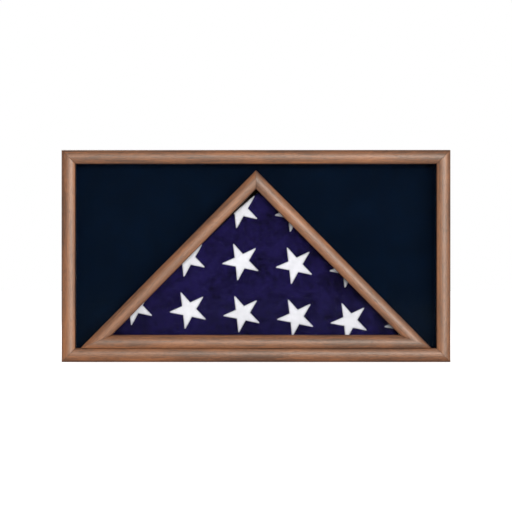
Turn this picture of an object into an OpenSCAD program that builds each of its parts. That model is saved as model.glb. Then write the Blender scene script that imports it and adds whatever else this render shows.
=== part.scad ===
// Glazed display case for a folded flag, with a medal space on each side of it.
// Millimetres, +Z up. The glazed face looks along -Y and the case stands on z = 0.
// The origin is the bottom centre of the bounding box.
// Inside the modules y is the depth behind the front face, and in_case() shifts it.

/* [Case] */
// Outer width of the case
case_w = 558.8; // [530:0.1:590]
// Outer height of the case
case_h = 304.8; // [298:0.1:315]
// Depth from the crests of the front rails to the rear rim
case_d = 89; // [84:0.5:100]
// Thickness of the four case boards
board_t = 19; // [17:0.5:19]
// Width of the step round the rear opening that takes the back panel
step_w = 6; // [5:0.5:7]
// Depth of that step
step_d = 5.5; // [5.4:0.1:6]

/* [Front frame] */
// Width of the four front rails
rail_w = 20; // [19:0.5:22]
// Depth of the four front rails
rail_d = 19; // [16:0.5:21]
// Radius of the crowned front of every rail
crown_r = 22; // [21.5:0.5:40]
// Distance of the crest from the outer edge of a front rail
rail_crest = 11; // [9:0.5:12]
// Radius of the outer front edge of a front rail
outer_round = 5; // [2:0.5:6]
// Radius of the small rounding on the other rail edges
arris = 1.2; // [0.5:0.1:2]

/* [Triangle frame] */
// Width of the three triangle rails
tri_rail_w = 19; // [16:0.5:21]
// Distance of the crest from the outer edge of a triangle rail
tri_crest = 8; // [7:0.5:11]
// Half of the triangle's width over its outer lower corners
tri_half = 252.4; // [245:0.1:255]
// Rise of the triangle's outer apex above the bottom rail
tri_rise = 255.8; // [250:0.1:258]

/* [Glass] */
// Thickness of the glass
glass_t = 2.5; // [2:0.5:3]
// Width of the rebate behind the front rails that holds the glass
glass_lap = 6; // [4:0.5:8]
// Play between the edge of the glass and its rebate
glass_play = 0.5; // [0.2:0.1:1]

/* [Flag compartment] */
// Thickness of the two sloping dividers
divider_t = 10; // [8:0.5:12]
// Set-back of the compartment's walls behind the edge of the triangle's opening
wall_setback = 4.5; // [3:0.5:6]
// Thickness of the folded flag
flag_t = 56; // [40:1:58]
// Play between the folded flag and the glass
flag_front_play = 3; // [2:0.5:4]
// Play between the folded flag and the compartment's walls
flag_play = 1.2; // [0.8:0.1:2]
// Width of the flat at each corner of the folded flag
flag_corner = 6; // [4:1:12]

/* [Medal spaces] */
// Depth of the clear space between the glass and the velvet
medal_space = 24.5; // [15:0.5:30]
// Thickness of the velvet
velvet_t = 1; // [0.6:0.1:1.5]
// Thickness of the boards that carry the velvet
medal_board_t = 5; // [4:0.5:6]
// Thickness of the velvet lining on the walls of the medal spaces
lining_t = 0.8; // [0.5:0.1:0.9]
// Play round each medal board, so that it draws out with the back panel
board_play = 0.5; // [0.4:0.1:1]
// Width of the spacers between the medal boards and the back panel
spacer_w = 18; // [14:1:20]
// Height of the side spacers' lower ends
side_spacer_z = 55; // [50:1:60]
// Length of the side spacers
side_spacer_l = 180; // [175:1:190]
// Distance of the top spacers from the middle
top_spacer_x = 30; // [25:1:40]
// Length of the top spacers
top_spacer_l = 200; // [190:1:205]

/* [Back panel] */
// Thickness of the back panel
panel_t = 5; // [4:0.1:5]
// Play round the edge of the back panel
panel_play = 0.5; // [0.4:0.1:1]
// Play between the back panel and the floor of its step
panel_seat = 0.2; // [0.1:0.1:0.3]

/* [Turn buttons] */
// Width of a turn button
button_w = 9; // [8:0.5:10]
// Distance from the screw to the far end of the arm
button_reach = 25.5; // [22:0.5:28]
// Thickness of a turn button
button_t = 1.5; // [1:0.1:1.6]
// Gap under a turn button, and under the head of its screw
button_gap = 0.3; // [0.3:0.1:0.4]
// Distance of the outer buttons on the top and bottom rims from the middle
button_x = 150; // [100:5:200]

/* [Hangers] */
// Height of the rings' axes
hanger_z = 246; // [225:1:255]
// Width of the strap
strap_w = 7; // [6:0.5:7]
// Thickness of the strap's sheet
strap_t = 1; // [0.8:0.1:1]
// Distance from the ring's axis to the screw
strap_reach = 8; // [7.5:0.1:8]
// Radius of the ring's wire
wire_r = 1; // [0.9:0.1:1]
// Play between the ring's wire and the strap's loop
ring_play = 0.25; // [0.2:0.05:0.3]
// Clear width inside the ring
ring_inner_w = 8.4; // [8:0.1:8.4]
// Length of the straight sides of the ring
ring_leg = 8.5; // [8.5:0.1:10]

/* [Screws and bumpers] */
// Shank radius of the screws
shank_r = 1.75; // [1.5:0.05:1.8]
// Head radius of the turn buttons' screws
head_r = 3.2; // [3:0.1:3.5]
// Head radius of the hanger straps' screws
strap_head_r = 2.8; // [2.5:0.1:2.8]
// Head height of the pan head screws
head_h = 1.9; // [1.6:0.1:2]
// Length of the turn buttons' screws in the wood
shank_l = 14; // [10:1:20]
// Radius of the wall bumpers
bumper_r = 4.8; // [4:0.1:5.5]
// Thickness of the wall bumpers
bumper_t = 4.5; // [4.2:0.1:6]

/* [Hidden] */
$fn = 64;
CUT = 1;                                  // overrun of a cutter past a face
total_d = case_d + bumper_t;
slope = atan(tri_rise / tri_half);        // angle of the triangle's sides
apex_z = rail_w + tri_rise;
slope_len = sqrt(tri_half * tri_half + tri_rise * tri_rise);
glass_y = rail_d - glass_t;               // front face of the glass
step_y = case_d - step_d;                 // floor of the rear step
rim = board_t - step_w;                   // width of the rear rim
rim_mid = rim / 2;
velvet_y = rail_d + medal_space;
medal_board_y = velvet_y + velvet_t;
spacer_y = medal_board_y + medal_board_t;
panel_y = step_y + panel_seat;
flag_y = rail_d + flag_front_play;
wall_in = tri_rail_w - wall_setback;      // inset of a divider's inner face
wall_out = wall_in - divider_t;           // inset of its outer face
shelf_z = rail_w + wall_in;               // top face of the flag's shelf
button_y = case_d + button_gap;
ring_y = case_d + strap_t + wire_r + ring_play;
hanger_x = case_w / 2 - rim_mid;
loop_r = wire_r + ring_play + strap_t;    // outer radius of the strap's loop
cross_w = 0.9;                            // width of a screw's cross recess
cross_l = 1.1 * head_r;                   // length of its arms, end to end

// Turn buttons: name, x and z of the screw, and direction of the arm when open.
BUTTONS = [
    ["turn_button_top_left", -button_x, case_h - rim_mid, 0],
    ["turn_button_top_right", button_x, case_h - rim_mid, 0],
    ["turn_button_bottom_left", -button_x, rim_mid, 180],
    ["turn_button_bottom_right", button_x, rim_mid, 180],
    ["turn_button_left", rim_mid - case_w / 2, case_h / 2, -90],
    ["turn_button_right", case_w / 2 - rim_mid, case_h / 2, 90]
];

// Screws that hold the back panel to the spacers, right half: x and z.
PANEL_SCREWS = [[250, 75], [250, 145], [250, 215], [60, 272], [130, 272], [200, 272]];

// ---- places and helpers -------------------------------------------------

// Depth behind the front face becomes the y of the part's own frame.
module in_case() {
    translate([0, -total_d / 2, 0]) children();
}

// The four sides of the case: a bar drawn along x with its outer edge on z = 0.
module at_top() {
    translate([0, 0, case_h]) rotate([0, 180, 0]) children();
}

module at_left() {
    translate([-case_w / 2, 0, case_h / 2]) rotate([0, 90, 0]) children();
}

module at_right() {
    translate([case_w / 2, 0, case_h / 2]) rotate([0, -90, 0]) children();
}

module left_slope() {
    translate([-tri_half / 2, 0, rail_w + tri_rise / 2]) rotate([0, 180 - slope, 0]) children();
}

module mirrored() {
    mirror([1, 0, 0]) children();
}

// A plate cut to an outline in x and z, from depth y0 to depth y1.
module slab(points, y0, y1) {
    translate([0, y1, 0]) rotate([90, 0, 0]) linear_extrude(height = y1 - y0) polygon(points);
}

// A round bar along y, from depth y0 to depth y1.
module rod(x, z, r, y0, y1) {
    translate([x, y1, z]) rotate([90, 0, 0]) cylinder(r = r, h = y1 - y0);
}

// Height at which the triangle's side, moved in by inset, passes the middle.
function side_apex(inset) = apex_z - inset / cos(slope);
// Distance from the middle to that side at height z.
function side_x(inset, z) = (side_apex(inset) - z) / tan(slope);

// ---- rails --------------------------------------------------------------

// What a rounding of radius r takes off the edge at x = 0 of a crowned rail.
// It meets the crown at a slight angle, because a tangent join leaves a needle edge.
module edge_waste(crest, r) {
    tangent_y = crown_r - sqrt(pow(crown_r - r, 2) - pow(crest - r, 2));
    round_y = tangent_y - 0.01 * r;
    meet_x = crest + (r - crest) * crown_r / (crown_r - r);
    difference() {
        translate([-CUT, -CUT]) square([meet_x + CUT, round_y + CUT]);
        translate([r, round_y]) circle(r = r);
    }
}

// Section of a crowned rail: x across from the outer edge, y back from the crest.
module rail_section(w, d, crest, outer_r) {
    difference() {
        intersection() {
            square([w, d]);
            translate([crest, crown_r]) circle(r = crown_r);
        }
        edge_waste(crest, outer_r);
        translate([w, 0]) mirror([1, 0]) edge_waste(w - crest, arris);
    }
}

module front_rail_section() {
    difference() {
        rail_section(rail_w, rail_d, rail_crest, outer_round);
        translate([rail_w - glass_lap, glass_y]) square([glass_lap + CUT, glass_t + CUT]);
    }
}

module tri_rail_section() {
    rail_section(tri_rail_w, glass_y, tri_crest, arris);
}

// A bar of the section given as a child, with its ends cut to a mitre.
module mitred_bar(len, w, d, cut_left, cut_right) {
    intersection() {
        rotate([0, -90, 0]) linear_extrude(height = len + 2 * CUT, center = true) children();
        slab([[-len / 2, 0], [len / 2, 0], [len / 2 - cut_right, w], [cut_left - len / 2, w]], -CUT, d + CUT);
    }
}

module front_rail(len) {
    color("#966e53") in_case() mitred_bar(len, rail_w, rail_d, rail_w, rail_w) front_rail_section();
}

module frame_bottom_rail() {
    front_rail(case_w);
}

module frame_top_rail() {
    at_top() front_rail(case_w);
}

module frame_left_stile() {
    at_left() front_rail(case_h);
}

module frame_right_stile() {
    at_right() front_rail(case_h);
}

module triangle_base_rail() {
    foot_cut = tri_rail_w / tan(slope / 2);
    color("#966e53") in_case() translate([0, 0, rail_w])
        mitred_bar(2 * tri_half, tri_rail_w, glass_y, foot_cut, foot_cut) tri_rail_section();
}

module triangle_left_rail() {
    foot_cut = tri_rail_w / tan(slope / 2);
    apex_cut = tri_rail_w / tan(90 - slope);
    color("#966e53") in_case() left_slope()
        mitred_bar(slope_len, tri_rail_w, glass_y, apex_cut, foot_cut) tri_rail_section();
}

module triangle_right_rail() {
    mirrored() triangle_left_rail();
}

// ---- glass --------------------------------------------------------------

module front_glass() {
    edge = rail_w - glass_lap + glass_play;
    color("#dfe8ea", 0.3) in_case() translate([edge - case_w / 2, glass_y, edge])
        cube([case_w - 2 * edge, glass_t, case_h - 2 * edge]);
}

// ---- case ---------------------------------------------------------------

// Pilot holes in the rear rim for the turn buttons' and hangers' screws.
module pilot_holes() {
    for (b = BUTTONS) rod(b[1], b[2], shank_r, case_d - shank_l, case_d + CUT);
    for (side = [-1, 1]) rod(side * hanger_x, hanger_z - strap_reach, shank_r, case_d - shank_l, case_d + CUT);
}

// A mitred case board along x, with the step for the back panel.
module board_blank(len) {
    difference() {
        slab([[-len / 2, 0], [len / 2, 0], [len / 2 - board_t, board_t], [board_t - len / 2, board_t]],
            rail_d, case_d);
        translate([-len / 2, step_y, rim]) cube([len, step_d + CUT, step_w + CUT]);
    }
}

module case_bottom_board() {
    color("#80563f") in_case() difference() {
        board_blank(case_w);
        pilot_holes();
    }
}

module case_top_board() {
    color("#80563f") in_case() difference() {
        at_top() board_blank(case_w);
        pilot_holes();
    }
}

module case_left_board() {
    color("#80563f") in_case() difference() {
        at_left() board_blank(case_h);
        pilot_holes();
    }
}

module case_right_board() {
    mirrored() case_left_board();
}

// ---- flag compartment ---------------------------------------------------

module flag_divider_left() {
    color("#3a2a22") in_case() slab([
        [-side_x(wall_out, board_t), board_t], [-side_x(wall_in, board_t), board_t],
        [0, side_apex(wall_in)], [0, side_apex(wall_out)]], rail_d, step_y);
}

module flag_divider_right() {
    mirrored() flag_divider_left();
}

module flag_shelf() {
    low = side_x(wall_in, board_t);
    high = side_x(wall_in, shelf_z);
    color("#3a2a22") in_case() slab([
        [-low, board_t], [low, board_t], [high, shelf_z], [-high, shelf_z]], rail_d, step_y);
}

// The folded flag, a thick triangle whose sharp corners are cut flat.
module folded_flag() {
    inset = wall_in + flag_play;
    low = shelf_z + flag_play / 4;
    top = side_apex(inset) - flag_corner / 2 * tan(slope);
    foot = side_x(inset, low + flag_corner);
    color("#1d1844") in_case() slab([
        [-foot, low], [foot, low], [foot, low + flag_corner],
        [flag_corner / 2, top], [-flag_corner / 2, top], [-foot, low + flag_corner]],
        flag_y, flag_y + flag_t);
}

// ---- medal spaces -------------------------------------------------------

module lining(points) {
    color("#0a1626") in_case() slab(points, rail_d, velvet_y - board_play);
}

module wall_lining_top() {
    x = case_w / 2 - board_t - lining_t;
    z = case_h - board_t;
    lining([[-x, z - lining_t], [x, z - lining_t], [x, z], [-x, z]]);
}

module wall_lining_left() {
    x = board_t - case_w / 2;
    z = case_h - board_t;
    lining([[x, board_t], [x + lining_t, board_t], [x + lining_t, z], [x, z]]);
}

module wall_lining_right() {
    mirrored() wall_lining_left();
}

module divider_lining_left() {
    skin = wall_out - lining_t;
    lining([
        [-side_x(skin, board_t), board_t], [-side_x(wall_out, board_t), board_t],
        [0, side_apex(wall_out)], [0, side_apex(skin)]]);
}

module divider_lining_right() {
    mirrored() divider_lining_left();
}

// Outline of a medal board, a full rectangle less the flag's triangle.
function medal_outline(play) = let (
    side = board_t + play - case_w / 2,
    low = board_t + play,
    high = case_h - board_t - play,
    skin = wall_out - play
) [[side, low], [-side_x(skin, low), low], [0, side_apex(skin)], [0, high], [side, high]];

module medal_board_left() {
    color("#b99b72") in_case() slab(medal_outline(board_play), medal_board_y, spacer_y);
}

module medal_board_right() {
    mirrored() medal_board_left();
}

module medal_velvet_left() {
    color("#081526") in_case() slab(medal_outline(board_play), velvet_y, medal_board_y);
}

module medal_velvet_right() {
    mirrored() medal_velvet_left();
}

// Pilot holes for the screws that come through the back panel.
module panel_screw_holes(y0) {
    for (side = [-1, 1], at = PANEL_SCREWS) rod(side * at[0], at[1], shank_r, y0, panel_y + panel_t + CUT);
}

module spacer(x, z, w, h) {
    color("#c2a67c") in_case() difference() {
        translate([x, spacer_y, z]) cube([w, panel_y - spacer_y, h]);
        panel_screw_holes(panel_y - shank_l);
    }
}

module spacer_side_right() {
    spacer(PANEL_SCREWS[0][0] - spacer_w / 2, side_spacer_z, spacer_w, side_spacer_l);
}

module spacer_side_left() {
    mirrored() spacer_side_right();
}

module spacer_top_right() {
    spacer(top_spacer_x, PANEL_SCREWS[3][1] - spacer_w / 2, top_spacer_l, spacer_w);
}

module spacer_top_left() {
    mirrored() spacer_top_right();
}

// ---- back panel ---------------------------------------------------------

// A countersunk head, flush with the back panel.
module flat_head(x, z, grow) {
    translate([x, panel_y + panel_t, z]) rotate([90, 0, 0])
        cylinder(r1 = head_r + grow, r2 = shank_r + grow, h = head_h);
}

module back_panel() {
    edge = rim + panel_play;
    color("#5a4434") in_case() difference() {
        translate([edge - case_w / 2, panel_y, edge]) cube([case_w - 2 * edge, panel_t, case_h - 2 * edge]);
        panel_screw_holes(panel_y - CUT);
        for (side = [-1, 1], at = PANEL_SCREWS) flat_head(side * at[0], at[1], 0);
    }
}

// Cross recess in a screw's head, open towards the back.
module cross_recess(x, z, y) {
    for (turn = [0, 90]) translate([x, y, z]) rotate([0, turn, 0])
        cube([cross_l, head_h, cross_w], center = true);
}

module panel_screws() {
    face = panel_y + panel_t;
    color("#c9b27a") in_case() for (side = [-1, 1], at = PANEL_SCREWS) difference() {
        union() {
            flat_head(side * at[0], at[1], 0);
            rod(side * at[0], at[1], shank_r, face - shank_l, face - head_h / 2);
        }
        cross_recess(side * at[0], at[1], face);
    }
}

// ---- turn buttons -------------------------------------------------------

module turn_button(b) {
    far = button_reach - button_w / 2;
    color("#b8923f") in_case() translate([b[1], button_y, b[2]]) rotate([0, b[3], 0]) difference() {
        union() {
            rod(0, 0, button_w / 2, 0, button_t);
            rod(far, 0, button_w / 2, 0, button_t);
            translate([0, 0, -button_w / 2]) cube([far, button_t, button_w]);
        }
        rod(0, 0, shank_r + button_gap / 2, -CUT, button_t + CUT);
    }
}

// A pan head screw whose head's underside is at depth y.
module pan_screw(x, z, y, r) {
    color("#c9b27a") difference() {
        union() {
            rod(x, z, shank_r, case_d - shank_l, y + head_h / 2);
            rod(x, z, r, y, y + head_h);
        }
        cross_recess(x, z, y + head_h);
    }
}

module turn_button_screws() {
    in_case() for (b = BUTTONS) pan_screw(b[1], b[2], button_y + button_t + button_gap, head_r);
}

// ---- hangers ------------------------------------------------------------

// A strap folded round the ring's bar at its top and screwed to the rim.
module hanger_strap_left() {
    foot_z = hanger_z - strap_reach;
    color("#c9b27a") in_case() difference() {
        union() {
            translate([-hanger_x - strap_w / 2, ring_y, hanger_z]) rotate([0, 90, 0])
                cylinder(r = loop_r, h = strap_w);
            translate([-hanger_x - strap_w / 2, case_d, foot_z]) cube([strap_w, strap_t, strap_reach]);
            rod(-hanger_x, foot_z, strap_w / 2, case_d, case_d + strap_t);
        }
        translate([-hanger_x - strap_w / 2 - CUT, ring_y, hanger_z]) rotate([0, 90, 0])
            cylinder(r = loop_r - strap_t, h = strap_w + 2 * CUT);
        rod(-hanger_x, foot_z, shank_r, case_d - CUT, case_d + strap_t + CUT);
    }
}

module hanger_strap_right() {
    mirrored() hanger_strap_left();
}

// The ring: a straight bar, two legs and a round bow, hanging from its axis.
module hanger_ring_left() {
    bow_r = ring_inner_w / 2 + wire_r;
    color("#c9b27a") in_case() translate([-hanger_x, ring_y, hanger_z]) {
        rotate([0, 90, 0]) cylinder(r = wire_r, h = 2 * bow_r, center = true);
        for (side = [-1, 1]) {
            translate([side * bow_r, 0, 0]) sphere(r = wire_r);
            translate([side * bow_r, 0, -ring_leg]) cylinder(r = wire_r, h = ring_leg);
        }
        translate([0, 0, -ring_leg]) rotate([-90, 0, 0]) rotate_extrude(angle = 180)
            translate([bow_r, 0]) circle(r = wire_r);
    }
}

module hanger_ring_right() {
    mirrored() hanger_ring_left();
}

module hanger_screws() {
    in_case() for (side = [-1, 1])
        pan_screw(side * hanger_x, hanger_z - strap_reach, case_d + strap_t, strap_head_r);
}

// ---- bumpers ------------------------------------------------------------

module wall_bumper_left() {
    color("#1c1c1c") in_case() rod(-hanger_x, rim_mid, bumper_r, case_d, case_d + bumper_t);
}

module wall_bumper_right() {
    mirrored() wall_bumper_left();
}

frame_top_rail();
frame_bottom_rail();
frame_left_stile();
frame_right_stile();
triangle_left_rail();
triangle_right_rail();
triangle_base_rail();
front_glass();
case_top_board();
case_bottom_board();
case_left_board();
case_right_board();
flag_divider_left();
flag_divider_right();
flag_shelf();
wall_lining_top();
wall_lining_left();
wall_lining_right();
divider_lining_left();
divider_lining_right();
medal_board_left();
medal_board_right();
medal_velvet_left();
medal_velvet_right();
spacer_side_left();
spacer_side_right();
spacer_top_left();
spacer_top_right();
back_panel();
panel_screws();
folded_flag();
for (b = BUTTONS) turn_button(b);
turn_button_screws();
hanger_strap_left();
hanger_strap_right();
hanger_ring_left();
hanger_ring_right();
hanger_screws();
wall_bumper_left();
wall_bumper_right();
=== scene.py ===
"""Visible pieces of a glazed display case for a folded flag.

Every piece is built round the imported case, in metres and in its frame: +Z is up and the
glass looks along -Y. Sizes and places come from the case's own nodes and from the settings.
"""

import math

import bmesh
import bpy
import numpy as np
from bpy.props import FloatProperty, FloatVectorProperty, IntProperty, PointerProperty
from mathutils import Matrix, Vector
from mathutils.bvhtree import BVHTree


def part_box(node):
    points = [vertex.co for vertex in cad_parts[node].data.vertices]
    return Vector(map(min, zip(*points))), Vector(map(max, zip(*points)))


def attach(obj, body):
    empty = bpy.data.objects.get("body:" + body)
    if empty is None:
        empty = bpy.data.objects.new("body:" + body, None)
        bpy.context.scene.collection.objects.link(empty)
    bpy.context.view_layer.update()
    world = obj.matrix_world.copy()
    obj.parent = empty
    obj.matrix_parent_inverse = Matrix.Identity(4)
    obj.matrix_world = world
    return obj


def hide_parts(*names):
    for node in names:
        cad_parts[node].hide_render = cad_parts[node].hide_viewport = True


bl_info = {
    "name": "Folded flag display case",
    "version": (1, 0, 0),
    "blender": (4, 5, 0),
    "location": "View3D > Sidebar > Flag case",
    "description": "Builds the visible pieces of a glazed case that holds a folded flag",
    "category": "Add Mesh",
}

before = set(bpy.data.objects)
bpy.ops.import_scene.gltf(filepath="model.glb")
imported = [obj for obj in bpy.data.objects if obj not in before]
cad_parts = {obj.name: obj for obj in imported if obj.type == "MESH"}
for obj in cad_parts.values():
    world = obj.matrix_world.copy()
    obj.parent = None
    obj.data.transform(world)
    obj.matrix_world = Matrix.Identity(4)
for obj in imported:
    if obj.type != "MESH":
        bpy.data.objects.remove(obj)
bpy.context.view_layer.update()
MM = 0.001
RIGHT, BACK, UP = Vector((1, 0, 0)), Vector((0, 1, 0)), Vector((0, 0, 1))
SIDES = ((-1, "left"), (1, "right"))


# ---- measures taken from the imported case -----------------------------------

FRONT_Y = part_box("frame_top_rail")[0].y
CASE_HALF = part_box("frame_top_rail")[1].x
CASE_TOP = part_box("frame_top_rail")[1].z
RAIL_W = CASE_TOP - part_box("frame_top_rail")[0].z
RAIL_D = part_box("case_top_board")[0].y - FRONT_Y
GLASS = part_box("front_glass")
TRI_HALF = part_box("triangle_base_rail")[1].x
TRI_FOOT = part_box("triangle_base_rail")[0].z
TRI_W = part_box("triangle_base_rail")[1].z - TRI_FOOT
TRI_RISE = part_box("triangle_left_rail")[1].z - TRI_FOOT
SLOPE = math.atan2(TRI_RISE, TRI_HALF)
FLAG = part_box("folded_flag")


# ---- settings ---------------------------------------------------------------


def length(name, text, value):
    """A size, given in millimetres."""
    return FloatProperty(name=name, description=text, default=value * MM, unit="LENGTH", precision=5)


def bearing(name, text, value):
    """An angle, given in degrees."""
    return FloatProperty(name=name, description=text, default=math.radians(value), subtype="ANGLE")


def wattage(name, text, value):
    """The power of a lamp."""
    return FloatProperty(name=name, description=text, default=value, unit="POWER")


def share(name, text, value):
    """A number from 0 to 1."""
    return FloatProperty(name=name, description=text, default=value, min=0, max=1)


def tally(name, text, value, low, high):
    """A whole number."""
    return IntProperty(name=name, description=text, default=value, min=low, max=high)


def colour(name, text, value):
    """A colour, given as the eye sees it in eight bits a channel."""
    linear = [((c / 255 + 0.055) / 1.055) ** 2.4 if c > 10 else c / 255 / 12.92 for c in value]
    return FloatVectorProperty(
        name=name, description=text, default=linear, subtype="COLOR", size=3, min=0, max=1
    )


class WoodSettings(bpy.types.PropertyGroup):
    """Section of the rails and tones of the stained wood."""

    crown: length("Crown radius", "Radius of the rails' crowned front", 19.5)
    crest: length("Crest", "Distance of the crest from a front rail's outer edge", 10.5)
    outer_round: length("Outer rounding", "Radius of a front rail's outer edge", 5)
    arris: length("Arris", "Radius of the other edges", 1.2)
    slope_crest: length("Slope crest", "Distance of the crest from a sloping rail's outer edge", 10.5)
    base_crest: length("Base crest", "Distance of the crest from the base rail's outer edge", 7)
    mitre_bevel: length("Mitre bevel", "Rounding of the ends where two rails meet", 0.25)
    light: colour("Light grain", "Lightest tone of the stained wood", (152, 92, 50))
    dark: colour("Dark grain", "Darkest tone between the pores", (80, 41, 17))
    # the pore tone also paints shade along the rails' rounded edges
    pore: colour("Pores", "Tone of the open pores and of stained edges", (46, 23, 12))


class ClothSettings(bpy.types.PropertyGroup):
    """Tones of the cloths."""

    field: colour("Flag field", "Woven cotton of the flag's field", (26, 20, 66))
    star: colour("Stars", "Stars sewn on the field", (238, 238, 243))
    velvet: colour("Velvet", "Navy velvet of the medal spaces", (4, 16, 33))


class FlagSettings(bpy.types.PropertyGroup):
    """Shape of the folded flag and layout of its stars."""

    rows: tally("Rows", "Rows of facets across a face", 72, 24, 120)
    fold: length("Fold radius", "Radius of the outer fold round the faces", 5)
    ridges: tally("Layers", "Folded layers that show on a side", 8, 3, 16)
    ridge: length("Layer depth", "Depth of the grooves between layers", 2.4)
    slack: length("Slack corner", "How far the left fold draws in at the top", 7.6)
    star_r: length("Star radius", "From the middle of a star to a tip", 27.7)
    star_turn: bearing("Star turn", "Turn of the stars", 42.6)
    star_x: length("First star across", "Middle star, across from the case's middle", -21.1)
    star_z: length("First star up", "Middle star, up from the case's foot", 144.6)
    along: length("Spacing along", "Distance between stars along a row", 77.6)
    along_turn: bearing("Row turn", "Slope of a row", -3.9)
    down: length("Spacing down", "Distance between rows", 75.2)
    down_turn: bearing("Column turn", "Lean of a column", 1.2)
    applique: length("Star thickness", "Thickness of a sewn star", 0.5)
    stitch_pitch: length("Stitch pitch", "Distance between border stitches", 0.8)


class HardwareSettings(bpy.types.PropertyGroup):
    """Tones and edge roundings of the metal and rubber."""

    brass: colour("Brass", "Turn buttons", (196, 154, 84))
    plated: colour("Plated steel", "Screws, straps and rings", (206, 184, 140))
    edge: length("Edge rounding", "Bevel of stamped metal", 0.3)


class StageSettings(bpy.types.PropertyGroup):
    """Camera and studio light."""

    distance: length("Camera distance", "From the camera to the front of the case", 4500)
    view_w: length("View width", "Width that the camera takes in at the front of the case", 734.7)
    key: wattage("Key light", "Power of the key light", 134)
    upper: wattage("Upper light", "Power of the light above", 92)
    rear: wattage("Rear light", "Power of the light behind", 22)
    sky: share("Room light", "Strength of the even light of the room", 0.44)


SETTINGS = {
    "case_wood": WoodSettings,
    "case_cloth": ClothSettings,
    "case_flag": FlagSettings,
    "case_hardware": HardwareSettings,
    "case_stage": StageSettings,
}


# ---- node building ----------------------------------------------------------


class Graph:
    """A node tree that is built node by node."""

    prefix = "ShaderNode"

    def __init__(self, tree):
        self.tree = tree

    def plug(self, socket, value):
        """Links a socket to another, or sets its value."""
        if isinstance(value, bpy.types.NodeSocket):
            self.tree.links.new(value, socket)
        else:
            socket.default_value = value

    def add(self, kind, inputs=(), **settings):
        """A new node with its settings and inputs."""
        node = self.tree.nodes.new(kind if "Node" in kind else self.prefix + kind)
        for key, value in settings.items():
            setattr(node, key, value)
        for key, value in dict(inputs).items():
            self.plug(node.inputs[key], value)
        return node

    def out(self, kind, inputs=(), output=0, **settings):
        """An output of a new node."""
        return self.add(kind, inputs, **settings).outputs[output]

    def math(self, operation, a, b):
        return self.out("ShaderNodeMath", {0: a, 1: b}, operation=operation)

    def fit(self, value, low, high, to_low=0.0, to_high=1.0):
        """A value brought from one range into another, and held within it."""
        inputs = {"Value": value, "From Min": low, "From Max": high, "To Min": to_low, "To Max": to_high}
        return self.out("ShaderNodeMapRange", inputs)


class Shader(Graph):
    """One material, by the inputs of its surface."""

    def __init__(self, name, **sockets):
        self.material = bpy.data.materials.new(name)
        self.material.use_nodes = True
        super().__init__(self.material.node_tree)
        self.surface = self.tree.nodes["Principled BSDF"]
        for key, value in sockets.items():
            self.set(key.replace("_", " "), value)

    def set(self, key, value):
        self.plug(self.surface.inputs[key], value)

    def place(self, size=(1, 1, 1), turn=(0, 0, 0), shift=(0, 0, 0)):
        """Object coordinates in a frame that is turned, shifted and stretched by size."""
        at = self.out("TexCoord", output="Object")
        inputs = {"Vector": at, "Location": shift, "Rotation": turn, "Scale": size}
        return self.out("Mapping", inputs, vector_type="TEXTURE")

    def noise(self, at, scale, detail=3.0, rough=0.5, twist=0.0):
        """Cloudy values from 0 to 1."""
        inputs = {"Vector": at, "Scale": scale, "Detail": detail, "Roughness": rough, "Distortion": twist}
        return self.out("TexNoise", inputs, "Fac")

    def spread(self, noise, low, high):
        """The middle range of a noise, stretched from low to high."""
        return self.fit(noise, 0.3, 0.7, low, high)

    def times(self, a, b):
        return self.math("MULTIPLY", a, b)

    def total(self, first, *others):
        for value in others:
            first = self.math("ADD", first, value)
        return first

    def mix(self, factor, *tones):
        """Between two tones, each a socket or a colour."""
        node = self.add("Mix", {0: factor}, data_type="RGBA")
        for key, tone in zip((6, 7), tones):
            self.plug(node.inputs[key], tone if isinstance(tone, bpy.types.NodeSocket) else (*tone, 1))
        return node.outputs[2]

    def bump(self, height, strength, distance):
        inputs = {"Height": height, "Strength": strength, "Distance": distance}
        self.set("Normal", self.out("Bump", inputs))


def scaled(tone, by):
    """A colour made lighter or darker."""
    return [min(1.0, by * c) for c in tone]


# ---- materials --------------------------------------------------------------


def wood(name, angle, seed, tones, gloss=1.0, rough=0.42):
    """Stained, open-pored wood in light, dark and pore tones, with its grain at this angle in XZ."""
    light, dark, pore = tones
    s = Shader(name, Specular_IOR_Level=gloss, Coat_Weight=0.25 * gloss, Coat_Roughness=0.3)
    s.set("Specular Tint", (1.0, 0.86, 0.71, 1))

    def grain(stretch, *noise):
        """Noise that is drawn out along the grain."""
        shift = (0.31 * seed, 0.017 * seed, 0.053 * seed)
        return s.noise(s.place((stretch, 1, 1), (0, -angle, 0), shift), *noise)

    figure, patch = grain(22, 150, 5.0, 0.62, 0.6), grain(3, 34, 2.0)
    streak, fleck = grain(36, 900, 4.0, 0.65), grain(5, 620, 3.0, 0.6)
    open_pore = s.fit(grain(14, 2100, 2.0, 0.5), 0.6, 0.68)
    tone = s.total(
        s.spread(figure, 0.0, 0.75), s.spread(streak, -0.22, 0.36), s.fit(patch, 0.32, 0.68, -0.3, 0.24),
        s.spread(fleck, -0.24, 0.22),
    )
    base = s.mix(s.fit(tone, 0.0, 1.0), dark, light)
    base = s.mix(s.times(open_pore, 0.55), base, pore)
    # the pore tone darkens the mitre joints as stain and the rails' rounded edges as painted shade
    rim = s.out("Attribute", output="Fac", attribute_name="rim")
    base = s.mix(s.times(rim, s.spread(streak, 0.75, 0.95)), base, pore)
    s.set("Base Color", base)
    s.set("Roughness", s.spread(streak, rough, rough + 0.1))
    s.bump(s.math("SUBTRACT", s.total(streak, s.times(fleck, 1.4)), open_pore), 0.35, 0.25 * MM)
    return s.material


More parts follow.
